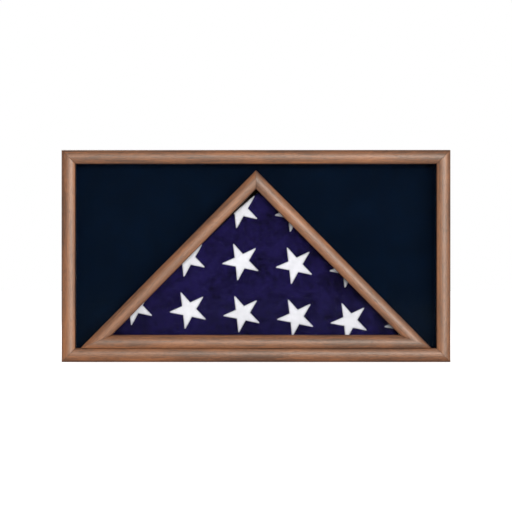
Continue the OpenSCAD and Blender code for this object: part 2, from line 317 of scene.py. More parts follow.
def velvet(name, base):
    """Short pile whose nap lies in brushed patches."""
    s = Shader(name, Roughness=0.95, Sheen_Weight=0.05, Sheen_Roughness=0.4, Specular_IOR_Level=0.03)
    s.set("Sheen Tint", (0.25, 0.42, 0.8, 1))
    nap, pile = s.noise(s.place(), 26, 4.0, 0.6, 0.8), s.noise(s.place(), 3200, 2.0, 0.7)
    shade = s.total(s.spread(nap, 0.72, 1.2), s.spread(pile, -0.25, 0.25))
    s.set("Base Color", s.mix(s.fit(shade, 0.3, 1.5), scaled(base, 0.35), scaled(base, 1.55)))
    s.bump(s.total(s.times(nap, 2.0), pile), 0.5, 0.2 * MM)
    return s.material


def woven(name, base, light, thread, sheen, worn=0.2):
    """Plain weave: over and under threads from two crossed waves, with slubs, and soft patches and blotches
    of random tone that also paint the shade of small creases.
    """
    s = Shader(name, Roughness=0.9, Specular_IOR_Level=0.06, Sheen_Weight=sheen, Sheen_Roughness=0.5)
    at = s.place()
    part = s.add("SeparateXYZ", {"Vector": at}).outputs
    warp, weft = (s.math("SINE", s.times(part[key], 2 * math.pi / thread), 0.0) for key in "XZ")
    weave = s.times(warp, weft)
    slub = s.noise(s.place((9, 1, 1)), 700, 2.0)
    patch, crease_shade_blotch = s.noise(at, 21, 5.0, 0.62, 0.7), s.noise(at, 120, 3.0, 0.6)
    # patches and blotches: random tone, and painted shade of small creases in the cloth
    tone = s.total(
        s.fit(patch, 0.36, 0.64, 0.0, 0.55), s.fit(crease_shade_blotch, 0.36, 0.64, 0.0, 0.4),
        s.spread(slub, -0.08, 0.08), s.times(weave, worn),
    )
    s.set("Base Color", s.mix(s.fit(tone, 0.0, 0.9), base, light))
    s.bump(s.total(weave, slub), 0.45, 0.08 * MM)
    return s.material


def metal(name, base, rough, tarnish):
    """Plated or brass sheet with fine scratches and a little tarnish."""
    s = Shader(name, Metallic=1.0)
    scratch, cloud = s.noise(s.place((1, 1, 16)), 2600, 2.0, 0.6), s.noise(s.place(), 260, 4.0, 0.6)
    s.set("Base Color", s.mix(s.fit(cloud, 0.45, 0.75, 0.0, 0.7), base, tarnish))
    s.set("Roughness", s.fit(s.total(scratch, cloud), 0.7, 1.3, rough, rough + 0.22))
    s.bump(scratch, 0.15, 0.05 * MM)
    return s.material


def hardboard(name, light, dark):
    """Pressed wood fibre: short fibres in every direction under a worn glaze."""
    s = Shader(name, Roughness=0.6, Coat_Weight=0.1, Coat_Roughness=0.4)
    chips, fibre = s.noise(s.place(), 1500, 4.0, 0.8), s.noise(s.place(), 330, 4.0, 0.75, 3.5)
    cloud = s.noise(s.place(), 12, 3.0)
    tone = s.total(
        s.fit(chips, 0.35, 0.65, 0.0, 0.45), s.fit(fibre, 0.38, 0.62, 0.0, 0.4), s.spread(cloud, 0.0, 0.2)
    )
    s.set("Base Color", s.mix(tone, dark, light))
    s.set("Roughness", s.spread(chips, 0.48, 0.7))
    s.bump(s.total(chips, fibre), 0.3, 0.15 * MM)
    return s.material


def rubber(name):
    """Matt black moulding with a fine grain."""
    s = Shader(name, Roughness=0.8)
    grain = s.noise(s.place(), 2400, 3.0)
    s.set("Base Color", s.mix(grain, (0.008, 0.008, 0.008), (0.03, 0.03, 0.032)))
    s.set("Roughness", s.spread(grain, 0.7, 0.88))
    s.bump(grain, 0.3, 0.1 * MM)
    return s.material


def glass(name):
    """A clear pane: nearly all light passes, and a trace of a bright lamp comes back."""
    s = Shader(name, Metallic=1.0, Alpha=0.012)
    smear = s.noise(s.place(), 9, 3.0)
    s.set("Base Color", s.mix(smear, (0.06, 0.07, 0.07), (0.1, 0.11, 0.11)))
    s.set("Roughness", s.spread(smear, 0.02, 0.06))
    return s.material


def pale_floor(name):
    """Plain pale studio floor, which looks white from the camera and lights the case less."""
    s = Shader(name, Roughness=0.7)
    seen = s.out("LightPath", output="Is Camera Ray")
    s.set("Emission Strength", s.fit(seen, 0.0, 1.0, 0.08, 0.74))
    s.set("Base Color", s.mix(s.noise(s.place(), 1.5, 2.0), (0.86, 0.86, 0.86), (0.9, 0.9, 0.9)))
    s.set("Emission Color", (1, 1, 1, 1))
    return s.material


# ---- mesh building ----------------------------------------------------------


def linked(name, data):
    """A new object in the scene."""
    obj = bpy.data.objects.new(name, data)
    bpy.context.scene.collection.objects.link(obj)
    return obj


def pour(bm, mesh):
    """Fills a mesh from bm, which ends there."""
    bm.to_mesh(mesh)
    bm.free()
    return mesh


def mesh_object(name, points, faces, material):
    """A mesh whose faces all point outwards, linked to the scene."""
    mesh = bpy.data.meshes.new(name)
    mesh.from_pydata([tuple(p) for p in points], [], faces)
    bm = bmesh.new()
    bm.from_mesh(mesh)
    bmesh.ops.recalc_face_normals(bm, faces=bm.faces)
    return shown(name, pour(bm, mesh), material)


def smooth(mesh):
    """Smooth shading on every face."""
    mesh.polygons.foreach_set("use_smooth", [True] * len(mesh.polygons))


def shown(name, mesh, material):
    """A mesh in one material, smoothly shaded, as an object."""
    mesh.materials.clear()
    mesh.materials.append(material)
    smooth(mesh)
    return linked(name, mesh)


def evaluated(obj):
    """The mesh of obj after its modifiers or its curve's own settings."""
    graph = bpy.context.evaluated_depsgraph_get()
    return bpy.data.meshes.new_from_object(obj.evaluated_get(graph))


def baked(obj):
    """obj with its modifiers turned into plain mesh."""
    mesh, old = evaluated(obj), obj.data
    obj.modifiers.clear()
    obj.data = mesh
    bpy.data.meshes.remove(old)
    return obj


def sharpen(obj, degrees):
    """Smooth shading that breaks at edges sharper than this."""
    obj.data.set_sharp_from_angle(angle=math.radians(degrees))
    return obj


def hand_in(obj, body, slot, *nodes):
    """obj rides on its body and stands for the nodes, whose CAD pieces it hides. slot is not used."""
    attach(obj, body)
    if nodes:
        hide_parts(*nodes)
    return obj


def dress(material, *nodes):
    """Gives CAD nodes their material."""
    for node in nodes:
        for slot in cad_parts[node].material_slots:
            slot.material = material


def quads(rings):
    """Faces that join each ring of point numbers to the next."""
    return [
        (a[k], a[(k + 1) % len(a)], b[(k + 1) % len(a)], b[k])
        for a, b in zip(rings, rings[1:]) for k in range(len(a))
    ]


def tube(count, sides):
    """Faces of a closed tube whose points lie in rings, one after the other."""
    rings = [range(i * sides, (i + 1) * sides) for i in range(count)]
    return [*quads(rings), tuple(rings[0]), tuple(rings[-1])]


def signed_area(outline):
    """Area inside an outline, above zero where it runs anticlockwise."""
    return sum(a[0] * b[1] - b[0] * a[1] for a, b in zip(outline, outline[1:] + outline[:1])) / 2


def flat_face(outline):
    """A mesh under construction that holds one face in XY."""
    bm = bmesh.new()
    bm.faces.new([bm.verts.new((x, y, 0)) for x, y in outline])
    return bm


def cut(bm, at, normal, **settings):
    """Cuts every face of bm along a plane."""
    everything = bm.verts[:] + bm.edges[:] + bm.faces[:]
    bmesh.ops.bisect_plane(bm, geom=everything, plane_co=at, plane_no=normal, **settings)


def cut_up(bm, lows, highs, step):
    """Cuts every face of bm at even steps along X and then along Y."""
    for axis, normal in enumerate((RIGHT, BACK)):
        for at in np.arange(lows[axis] + step / 2, highs[axis], step):
            cut(bm, normal * float(at), normal)


def placed(origin, *columns):
    """A matrix that puts X, Y and Z along three directions from an origin."""
    return Matrix.Translation(origin) @ Matrix(columns).transposed().to_4x4()


def apply_tree(obj, tree, **inputs):
    """Puts a geometry tree on obj with its inputs set, and turns the result into plain mesh."""
    modifier = obj.modifiers.new(tree.name, "NODES")
    modifier.node_group = tree
    sockets = {i.name: i.identifier for i in tree.interface.items_tree if i.in_out == "INPUT"}
    for name, value in inputs.items():
        modifier[sockets[name.replace("_", " ")]] = value
    smooth(baked(obj).data)
    return obj


class Tree(Graph):
    """A geometry node tree with its own inputs, each given as a kind of socket."""

    prefix = "GeometryNode"

    def __init__(self, name, **inputs):
        super().__init__(bpy.data.node_groups.new(name, "GeometryNodeTree"))
        new_socket = self.tree.interface.new_socket
        for way in ("INPUT", "OUTPUT"):
            new_socket("Geometry", in_out=way, socket_type="NodeSocketGeometry")
        for label, kind in inputs.items():
            new_socket(label.replace("_", " "), in_out="INPUT", socket_type="NodeSocket" + kind)
        self.given = self.tree.nodes.new("NodeGroupInput").outputs
        self.result = self.tree.nodes.new("NodeGroupOutput").inputs["Geometry"]

    def vector(self, operation, a, key, b):
        return self.out("ShaderNodeVectorMath", {0: a, key: b}, operation=operation)

    def copies(self, points, shape, **inputs):
        """Copies of a shape on points. Closes the tree with Realize Instances and Set Material."""
        copied = self.out("InstanceOnPoints", {"Points": points, "Instance": shape, **inputs})
        real = self.out("RealizeInstances", {"Geometry": copied})
        last = self.out("SetMaterial", {"Geometry": real, "Material": self.given["Material"]})
        self.plug(self.result, last)
        return self.tree


# ---- rails ------------------------------------------------------------------


def crowned_section(width, depth, crown, crest, outer, inner, lap=0.0, lap_y=0.0):
    """Section of a rail as (across, back) points, from the outer back corner round the front."""

    def rounding(crest_x, r, steps):
        """Points round an edge, from the side to where the crown begins, and the turn there."""
        centre_y = crown - math.sqrt((crown - r) ** 2 - (crest_x - r) ** 2)
        meet = 2 * math.pi + math.atan2(centre_y - crown, r - crest_x)
        turns = np.linspace(math.pi, meet, steps)
        return [(r + r * math.cos(a), centre_y + r * math.sin(a)) for a in turns], meet

    first, meet_out = rounding(crest, outer, 9)
    last, meet_in = rounding(width - crest, inner, 5)
    middle = [
        (crest + crown * math.cos(a), crown + crown * math.sin(a))
        for a in np.linspace(meet_out, 3 * math.pi - meet_in, 22)[1:-1]
    ]
    inner_side = [(width - x, y) for x, y in reversed(last)]
    back = [(width, lap_y), (width - lap, lap_y), (width - lap, depth)] if lap else [(width, depth)]
    return [(0.0, depth), *first, *middle, *inner_side, *back]


def drawn_in(points, by):
    """A closed section moved inwards by a distance."""
    sign = 1 if signed_area(points) > 0 else -1
    out = []
    for before, here, after in zip(points[-1:] + points[:-1], points, points[1:] + points[:1]):
        line = Vector((after[0] - before[0], after[1] - before[1])).normalized() * sign
        out.append((here[0] - line.y * by, here[1] + line.x * by))
    return out


def painted_edge_shade(across, width, outer, inner):
    """How much painted shade darkens a rail near its rounded edges: full at the edge, none past the reach.
    """
    return max(0.0, 0.5 * (1 - across / outer) if outer else 0.0, 0.5 * (1 - (width - across) / inner))


def rail(name, section, width, span, cuts, place, material, outer_shade_reach):
    """A mitred rail. place maps (along, across, back) to the case's frame."""
    bevel = bpy.context.scene.case_wood.mitre_bevel
    gap, reach, small = 0.02 * MM, 1.2 * MM, drawn_in(section, bevel)
    rings = [(gap, small, 0.5), (gap + bevel, section, 0.3), (reach, section, 0.0)]
    points, rims = [], []
    ends = [(-1, cuts[0], r) for r in rings] + [(1, cuts[1], r) for r in reversed(rings)]
    for side, cut, (inset, shape, rim) in ends:
        for across, back in shape:
            along = side * (span / 2 - cut * across / width - inset)
            points.append(place @ Vector((along, across, back)))
            # darkness per point is the larger of the stain in the mitre joint and the painted shade along
            # the rounded edges
            rims.append(max(rim, painted_edge_shade(across, width, outer_shade_reach, 2.2 * MM)))
    obj = mesh_object(name, points, tube(len(ends), len(section)), material)
    obj.data.attributes.new("rim", "FLOAT", "POINT").data.foreach_set("value", rims)
    return sharpen(obj, 32)


class CASE_OT_rails(bpy.types.Operator):
    """Builds the four front rails and the three rails of the triangle"""

    bl_idname = "flag_case.rails"
    bl_label = "Rails"

    def execute(self, context):
        w = context.scene.case_wood
        tones = (w.light, w.dark, w.pore)
        glass_y = GLASS[0].y - FRONT_Y
        lap = RAIL_W - (CASE_HALF - GLASS[1].x) + 0.5 * MM
        front = crowned_section(RAIL_W, RAIL_D, w.crown, w.crest, w.outer_round, w.arris, lap, glass_y)
        sloping, level = (
            crowned_section(TRI_W, glass_y, w.crown, crest, w.arris, w.arris)
            for crest in (w.slope_crest, w.base_crest)
        )
        foot, middle, half = BACK * FRONT_Y, BACK * FRONT_Y + UP * CASE_TOP / 2, RIGHT * CASE_HALF
        sides = {
            "frame_top_rail": (foot + UP * CASE_TOP, RIGHT, -UP, 2 * CASE_HALF, 0.0),
            "frame_bottom_rail": (foot, RIGHT, UP, 2 * CASE_HALF, 0.0),
            "frame_left_stile": (middle - half, UP, RIGHT, CASE_TOP, math.pi / 2),
            "frame_right_stile": (middle + half, UP, -RIGHT, CASE_TOP, math.pi / 2),
        }
        for seed, (node, (origin, along, inward, span, angle)) in enumerate(sides.items(), 1):
            # a front rail's outer edge gets painted shade within 3.2 mm, a window rail's outer edge none
            obj = rail(
                node.replace("frame_", "front_"), front, RAIL_W, span, (RAIL_W, RAIL_W),
                placed(origin, along, inward, BACK), wood("wood_" + node, angle, seed, tones), 3.2 * MM,
            )
            hand_in(obj, "case", "rail_wood", node)
        foot_cut, apex_cut = TRI_W / math.tan(SLOPE / 2), TRI_W / math.tan(math.pi / 2 - SLOPE)
        base = foot + UP * TRI_FOOT
        window = {"base": (base, RIGHT, UP, level, 2 * TRI_HALF, foot_cut, 0.0)}
        for side, word in SIDES:
            along = Vector((-side * math.cos(SLOPE), 0, math.sin(SLOPE)))
            inward = Vector((-side * math.sin(SLOPE), 0, -math.cos(SLOPE)))
            middle = base + Vector((side * TRI_HALF / 2, 0, TRI_RISE / 2))
            span = math.hypot(TRI_HALF, TRI_RISE)
            window[word] = (middle, along, inward, sloping, span, apex_cut, -side * SLOPE)
        for seed, (word, (origin, along, inward, section, span, cut, angle)) in enumerate(window.items(), 7):
            obj = rail(
                f"window_{word}_rail", section, TRI_W, span, (foot_cut, cut),
                placed(origin, along, inward, BACK), wood("wood_window_" + word, angle, seed, tones), 0.0,
            )
            hand_in(obj, "case", "rail_wood", f"triangle_{word}_rail")
        return {"FINISHED"}


class CASE_OT_boards(bpy.types.Operator):
    """Finishes the case boards, dividers, shelf, glass, spacers and back panel"""

    bl_idname = "flag_case.boards"
    bl_label = "Boards and glass"

    def execute(self, context):
        w = context.scene.case_wood
        tones = (w.light, w.dark, w.pore)
        upright = math.pi / 2
        sides = {"top": 0.0, "bottom": 0.0, "left": upright, "right": upright}
        worn = [scaled(tone, 0.9) for tone in tones]
        for seed, (word, angle) in enumerate(sides.items(), 11):
            dress(wood("wood_case_" + word, angle, seed, worn, gloss=0.25, rough=0.52), f"case_{word}_board")
        inner = {"flag_divider_left": SLOPE, "flag_divider_right": -SLOPE, "flag_shelf": 0.0}
        # the dividers and shelf are darkened to near black: painted shade inside the flag compartment
        dark = [scaled(tone, 0.12) for tone in tones]
        for seed, (node, angle) in enumerate(inner.items(), 21):
            dress(wood("wood_" + node, angle, seed, dark, gloss=0.1), node)
        bare = ((0.56, 0.39, 0.22), (0.44, 0.28, 0.14), (0.3, 0.18, 0.09))
        across = wood("bare_birch", 0.0, 31, bare, gloss=0.1)
        along = wood("bare_birch_upright", upright, 32, bare, gloss=0.1)
        for side in ("left", "right"):
            dress(across, f"medal_board_{side}", f"spacer_top_{side}")
            dress(along, f"spacer_side_{side}")
        dress(hardboard("brown_hardboard", (0.17, 0.095, 0.055), (0.06, 0.032, 0.02)), "back_panel")
        dress(glass("clear_glass"), "front_glass")
        return {"FINISHED"}


# ---- velvet -----------------------------------------------------------------


def ripple(x, y, amplitude, wave, seed):
    """A smooth, low relief made of three crossed waves."""
    total, waves = 0.0, 3
    for k in range(waves):
        a = 1.7 * k + seed
        along = x * math.cos(a) + y * math.sin(a)
        total += math.sin(along * 2 * math.pi / (wave * (1 + 0.37 * k)) + 2.1 * a)
    return amplitude * total / waves


def cloth_face(name, outline, place, thick, material, relief=0.12 * MM):
    """Cloth stretched over a flat shape: a slightly uneven face whose edge turns down by thick.

    outline is in (across, up) and place maps (across, up, out) to the frame."""
    step, wave, roll = 7 * MM, 60 * MM, 0.45 * thick
    bm = flat_face(outline)
    cut_up(bm, [min(c) for c in zip(*outline)], [max(c) for c in zip(*outline)], step)
    bmesh.ops.inset_region(bm, faces=bm.faces[:], thickness=roll, use_even_offset=True)
    for v in bm.verts:
        edge = any(e.is_boundary for e in v.link_edges)
        v.co.z = -0.35 * thick if edge else ripple(v.co.x, v.co.y, relief, wave, len(name)) - relief
    hem = bmesh.ops.extrude_edge_only(bm, edges=[e for e in bm.edges if e.is_boundary])["geom"]
    for v in (g for g in hem if isinstance(g, bmesh.types.BMVert)):
        v.co.z = -0.96 * thick
    bmesh.ops.recalc_face_normals(bm, faces=bm.faces)
    middle = max(bm.faces, key=lambda f: f.calc_area())
    if (middle.normal.z < 0) != (place.to_3x3().determinant() < 0):
        bmesh.ops.reverse_faces(bm, faces=bm.faces)
    bm.transform(place)
    return sharpen(shown(name, pour(bm, bpy.data.meshes.new(name)), material), 20)


class CASE_OT_velvet(bpy.types.Operator):
    """Covers the medal boards and lines the walls of the medal spaces with velvet"""

    bl_idname = "flag_case.velvet"
    bl_label = "Velvet"

    def execute(self, context):
        cloth = velvet("navy_velvet", context.scene.case_cloth.velvet)
        low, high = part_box("medal_velvet_right")
        face, thick = low.y, high.y - low.y
        for side, word in SIDES:
            corner = [co for co in corners_of(f"medal_velvet_{word}") if abs(co.y - face) < 1e-6]
            outline = around([(side * co.x, co.z) for co in corner])
            place = Matrix(((side, 0, 0, 0), (0, 0, -1, face), (0, 1, 0, 0), (0, 0, 0, 1)))
            obj = cloth_face(f"velvet_panel_{word}", outline, place, thick, cloth)
            hand_in(obj, "back", "velvet", f"medal_velvet_{word}")
        for side, word in SIDES:
            low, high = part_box(f"wall_lining_{word}")
            corner = Vector((high.x if side < 0 else low.x, low.y, low.z))
            size = (high.z - low.z, high.y - low.y, high.x - low.x)
            self.strip(f"wall_{word}", corner, UP, -side * RIGHT, size, cloth, f"case_{word}_board")
            along = Vector((side * math.cos(SLOPE), 0, -math.sin(SLOPE)))
            out = Vector((side * math.sin(SLOPE), 0, math.cos(SLOPE)))
            low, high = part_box(f"divider_lining_{word}")
            size = ((high.z - low.z) / math.sin(SLOPE), high.y - low.y, 0.8 * MM)
            apex = Vector((0, low.y, high.z))
            self.strip(f"divider_{word}", apex, along, out, size, cloth, f"flag_divider_{word}")
        low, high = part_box("wall_lining_top")
        size = (high.x - low.x, high.y - low.y, high.z - low.z)
        self.strip("wall_top", low, RIGHT, -UP, size, cloth, "case_top_board")
        return {"FINISHED"}

    def strip(self, word, corner, along, out, size, cloth, wall):
        """One lining strip of (span, width, thickness), from the low end of its face."""
        span, width, thick = size
        outline = [(0, 0), (span, 0), (span, width), (0, width)]
        place = placed(corner, along, BACK, out)
        obj = cloth_face(f"velvet_{word}", outline, place, thick, cloth, relief=0.08 * MM)
        hand_in(obj, "case", "velvet", "_lining_".join(word.split("_")))


def corners_of(node):
    """The different corner points of a CAD node with flat faces."""
    seen = {}
    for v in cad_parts[node].data.vertices:
        seen[tuple(round(c, 6) for c in v.co)] = v.co.copy()
    return list(seen.values())


def around(points):
    """Corner points of a convex outline, put in order round their middle."""
    cx = sum(p[0] for p in points) / len(points)
    cy = sum(p[1] for p in points) / len(points)
    return sorted(points, key=lambda p: math.atan2(p[1] - cy, p[0] - cx))


# ---- folded flag ------------------------------------------------------------


CORNER_POWER = 26.0  # the higher, the sharper the flag's three corners
SWELL_FRAMES = 20  # length of the simulation that swells the flag's faces
REAR_STAR = (0.019, 0.118)  # a star's middle in XZ on the rear face


class FlagShape:
    """The outline of the folded flag and the triangle grid that fills its faces."""

    def __init__(self, f):
        self.f = f
        low = FLAG[0]
        reach = max(co.x * math.sin(SLOPE) + co.z * math.cos(SLOPE) for co in corners_of("folded_flag"))
        half = (reach - low.z * math.cos(SLOPE)) / math.sin(SLOPE)
        rise = half * math.tan(SLOPE)
        self.corners = np.array([(-half, low.z), (half, low.z), (0.0, low.z + rise)])
        side = math.hypot(half, rise)
        weights = np.array([side, side, 2 * half])
        self.centre = (weights[:, None] * self.corners).sum(0) / weights.sum()
        self.inradius = self.centre[1] - low.z
        slope = (math.sin(SLOPE), math.cos(SLOPE))
        self.normals = np.array([(0, -1), slope, (-slope[0], slope[1])])
        self.left_along = np.array((math.cos(SLOPE), math.sin(SLOPE)))
        self.side = side

    def outline_share(self, edge_points):
        """How far along the ray from the centre to each point of the sharp outline the real one is."""
        d = (edge_points - self.centre) / self.inradius
        reach = np.maximum(d @ self.normals.T, 1e-6)
        from_foot = ((edge_points - self.corners[0]) @ self.left_along) / self.side
        draw = self.f.slack * np.clip(from_foot, 0, 1) ** 3 / self.inradius
        reach[:, 2] = reach[:, 2] / (1 - draw)
        return 1 / ((reach**CORNER_POWER).sum(1)) ** (1 / CORNER_POWER)

    def at(self, points, inset):
        """Points of the sharp triangle, moved inside the real outline and in by an inset."""
        d = points - self.centre
        gauge = np.maximum((d @ self.normals.T).max(1) / self.inradius, 1e-9)
        edge = self.centre + d / gauge[:, None]
        pull = 1 - (1 - self.outline_share(edge)) * gauge**3
        return self.centre + d * (pull * (1 - inset / self.inradius))[:, None]

    def grid(self):
        """Grid points of the sharp triangle, its triangles, and its border in order."""
        n = self.f.rows
        index, points = {}, []
        for j in range(n + 1):
            for i in range(n + 1 - j):
                index[i, j] = len(points)
                b, c = i / n, j / n
                points.append((1 - b - c) * self.corners[0] + b * self.corners[1] + c * self.corners[2])
        faces = [(index[i, j], index[i + 1, j], index[i, j + 1]) for j in range(n) for i in range(n - j)]
        faces += [
            (index[i + 1, j], index[i + 1, j + 1], index[i, j + 1])
            for j in range(n) for i in range(n - j - 1)
        ]
        border = [index[i, 0] for i in range(n)]
        border += [index[n - j, j] for j in range(n)]
        border += [index[0, n - j] for j in range(n)]
        return np.array(points), faces, border


def puffed(points, faces, border, excess):
    """Height of a cloth face a little too large for its pinned border, by cloth simulation."""
    mesh = bpy.data.meshes.new("cloth_trial")
    mesh.from_pydata([(x, 0.0, z) for x, z in points], [], faces)
    trial = linked("cloth_trial", mesh)
    pins = trial.vertex_groups.new(name="pins")
    pins.add(border, 1.0, "REPLACE")
    cloth = trial.modifiers.new("Cloth", "CLOTH")
    s = cloth.settings
    s.vertex_group_mass = "pins"
    s.quality = 6
    s.mass = 0.25
    s.tension_stiffness = s.compression_stiffness = 12
    s.bending_stiffness = 0.6
    s.shrink_min = -excess
    s.use_pressure = True
    s.uniform_pressure_force = 0.6
    s.effector_weights.gravity = 0
    cloth.collision_settings.use_self_collision = False
    scene = bpy.context.scene
    for number in range(SWELL_FRAMES):
        scene.frame_set(number + 1)
    graph = bpy.context.evaluated_depsgraph_get()
    done = trial.evaluated_get(graph).to_mesh()
    heights = np.array([v.co.y for v in done.vertices])
    bpy.data.objects.remove(trial)
    scene.frame_set(1)
    return heights if heights.sum() < 0 else -heights


class CASE_OT_flag(bpy.types.Operator):
    """Builds the folded flag with its sewn stars"""

    bl_idname = "flag_case.flag"
    bl_label = "Folded flag"

    def execute(self, context):
        f = context.scene.case_flag
        tones = context.scene.case_cloth
        shape = FlagShape(f)
        points, faces, border = shape.grid()
        heights = np.zeros(len(points))
        heights = puffed(shape.at(points, f.fold), faces, border, excess=0.004)
        cap = 1.5 * MM
        heights = cap * np.tanh(heights / cap)
        field = woven("flag_field", scaled(tones.field, 0.2), scaled(tones.field, 1.3), 0.9 * MM, 0.01)
        body = self.bundle(shape, points, faces, border, heights, field)
        hand_in(body, "flag", "flag_cloth", "folded_flag")
        self.stars(f, body, shape, tones.star)
        return {"FINISHED"}

    def bundle(self, shape, points, faces, border, heights, material):
        """The folded cloth: two soft faces and a side of stacked folds between them."""
        low, high = FLAG
        front, back = low.y + 1.9 * MM, high.y - 0.4 * MM
        inner = shape.at(points, shape.f.fold)
        calm = np.ones(len(points))
        calm[border] = 0
        relief = sum(
            np.array([ripple(x, z, height, wave, seed) for x, z in inner]) * calm
            for height, wave, seed in ((0.55 * MM, 95 * MM, 0.4), (0.2 * MM, 34 * MM, 2.6))
        )
        verts = [(x, front + h + r, z) for (x, z), h, r in zip(inner, heights, relief)]
        rings = [border]
        turns = 2 * math.pi * np.arange(len(border)) / len(border)
        for inset, depth, groove in self.side_profile(shape.f, back - front):
            drift = [ripple(3 * math.cos(t), 3 * math.sin(t), 1.0, 2.2, 1400 * depth) for t in turns]
            ring = shape.at(points[border], inset)
            pull = groove * (0.6 + 0.4 * np.array(drift)) / shape.inradius
            ring += (shape.centre - ring) * pull[:, None]
            sway = 0.5 * MM * np.sin(5 * turns + 62 * math.pi * depth) * (groove > 0)
            rings.append(range(len(verts), len(verts) + len(border)))
            verts += [(x, front + depth + s, z) for (x, z), s in zip(ring, sway)]
        start = len(verts)
        lift = self.flap(shape, inner)
        verts += [
            (x, back - 0.35 * h - 1.2 * r + up, z) for (x, z), h, r, up in zip(inner, heights, relief, lift)
        ]
        rings.append([start + k for k in border])
        rear = [tuple(start + k for k in face) for face in faces]
        obj = mesh_object("folded_flag_cloth", verts, [*faces, *quads(rings), *rear], material)
        soften = obj.modifiers.new("Soften", "SUBSURF")
        soften.levels = soften.render_levels = 1
        return baked(obj)

    def side_profile(self, f, thick):
        """(inset, depth, groove) steps from the front fold, over the stacked folds, to the back fold."""
        turns = np.radians([18, 36, 54, 72])
        rounding = [(f.fold * (1 - math.sin(a)), f.fold * (1 - math.cos(a))) for a in turns]
        steps = [(inset, depth, 0.0) for inset, depth in rounding]
        first, last, per = f.fold, thick - f.fold, 7
        layers = [1 + 0.55 * math.sin(2.4 * k + 0.7) for k in range(f.ridges)]
        unit, at = (last - first) / sum(layers), first
        for k, layer in enumerate(layers):
            back_set = 0.6 * MM * (1 + math.sin(5.1 * k + 1.0))
            for t in np.arange(per) / per:
                bulge = math.sin(math.pi * t) ** 0.4
                groove = (1 - bulge) * f.ridge * min(1.2, layer) + bulge * back_set
                steps.append((0.0, at + layer * unit * t, groove))
            at += layer * unit
        steps.append((0.0, last, 0.8 * f.ridge))
        return steps + [(inset, thick - depth, 0.0) for inset, depth in reversed(rounding)]

    def flap(self, shape, inner):
        """Step of the tucked end across the rear face."""
        step, blend, lean = 1.1 * MM, 2.4 * MM, math.radians(62)
        start = shape.corners[0] + np.array((60 * MM, 0))
        away = (inner - start) @ np.array((-math.sin(lean), math.cos(lean)))
        return step * np.clip(away / blend + 0.5, 0, 1) - step

    def stars(self, f, body, shape, tone):
        """Stars on both faces, each a cloth patch with a border of stitches."""
        cotton = woven("star_cotton", scaled(tone, 0.92), scaled(tone, 1.1), 0.7 * MM, 0.1, worn=0.1)
        thread = woven("star_thread", scaled(tone, 0.8), tone, 0.3 * MM, 0.2, worn=0.1)
        surface = BVHTree.FromObject(body, bpy.context.evaluated_depsgraph_get())
        outline = shape.at(self.sharp_outline(shape), 0.7 * MM)
        flat = apply_tree(
            linked("star_seed", bpy.data.meshes.new("star_seed")), star_tree(),
            Star_radius=f.star_r, Columns=9, Rows=7, Turn=f.star_turn, Material=cotton,
            Along=Vector((math.cos(f.along_turn), math.sin(f.along_turn), 0)) * f.along,
            Down=Vector((math.sin(f.down_turn), -math.cos(f.down_turn), 0)) * f.down,
        )
        polygons = [[flat.data.vertices[i].co.xy for i in p.vertices] for p in flat.data.polygons]
        sewing, stitch = stitch_tree(), stitch_mesh(thread)
        for word, facing, shift in (("front", 1, (f.star_x, f.star_z)), ("rear", -1, REAR_STAR)):
            patches, borders = [], []
            for polygon in polygons:
                star = [Vector((facing * p.x + shift[0], p.y + shift[1])) for p in polygon]
                patch = star_patch(star, outline, surface, facing)
                if patch:
                    patches.append(patch)
                    borders += star_border(star, outline, surface, facing)
            obj = joined(f"flag_stars_{word}", patches, cotton)
            thick = obj.modifiers.new("Thickness", "SOLIDIFY")
            thick.thickness = f.applique
            thick.offset = -1
            hand_in(baked(obj), "flag", "flag_cloth")
            path = polylines(f"flag_stitches_{word}", borders)
            apply_tree(path, sewing, Pitch=f.stitch_pitch, Stitch=stitch, Material=thread)
            hand_in(path, "flag", "flag_cloth")
        bpy.data.objects.remove(flat)
        bpy.data.objects.remove(stitch)

    def sharp_outline(self, shape):
        """The sharp triangle's outline in short steps."""
        out, steps = [], 24
        for k in range(3):
            a, b = shape.corners[k], shape.corners[(k + 1) % 3]
            out += [a + (b - a) * t for t in np.arange(0, 1, 1 / steps)]
        return np.array(out)


def star_tree():
    """Flat five-pointed stars on a lattice given by two steps."""
    t = Tree(
        "Star field", Star_radius="Float", Columns="Int", Rows="Int", Along="Vector", Down="Vector",
        Turn="Float", Material="Material",
    )
    given = t.given
    across, up = (t.math("SUBTRACT", given[key], 1.0) for key in ("Columns", "Rows"))
    sizes = {"Size X": across, "Size Y": up, "Vertices X": given["Columns"], "Vertices Y": given["Rows"]}
    grid = t.out("MeshGrid", sizes)
    at = t.add("ShaderNodeSeparateXYZ", {0: t.out("InputPosition")}).outputs
    right, below = (
        t.vector("SCALE", given[key], "Scale", at[axis]) for key, axis in (("Along", 0), ("Down", 1))
    )
    lattice = t.out("SetPosition", {"Geometry": grid, "Position": t.vector("ADD", right, 1, below)})
    waist = t.math("MULTIPLY", given["Star radius"], 0.381966)  # of a true pentagram
    star = t.out("CurveStar", {"Points": 5, "Inner Radius": waist, "Outer Radius": given["Star radius"]})
    face = t.out("FillCurve", {"Curve": star}, mode="NGONS")
    turn = t.out("ShaderNodeCombineXYZ", {"Z": given["Turn"]})
    return t.copies(lattice, t.out("Transform", {"Geometry": face, "Rotation": turn}))


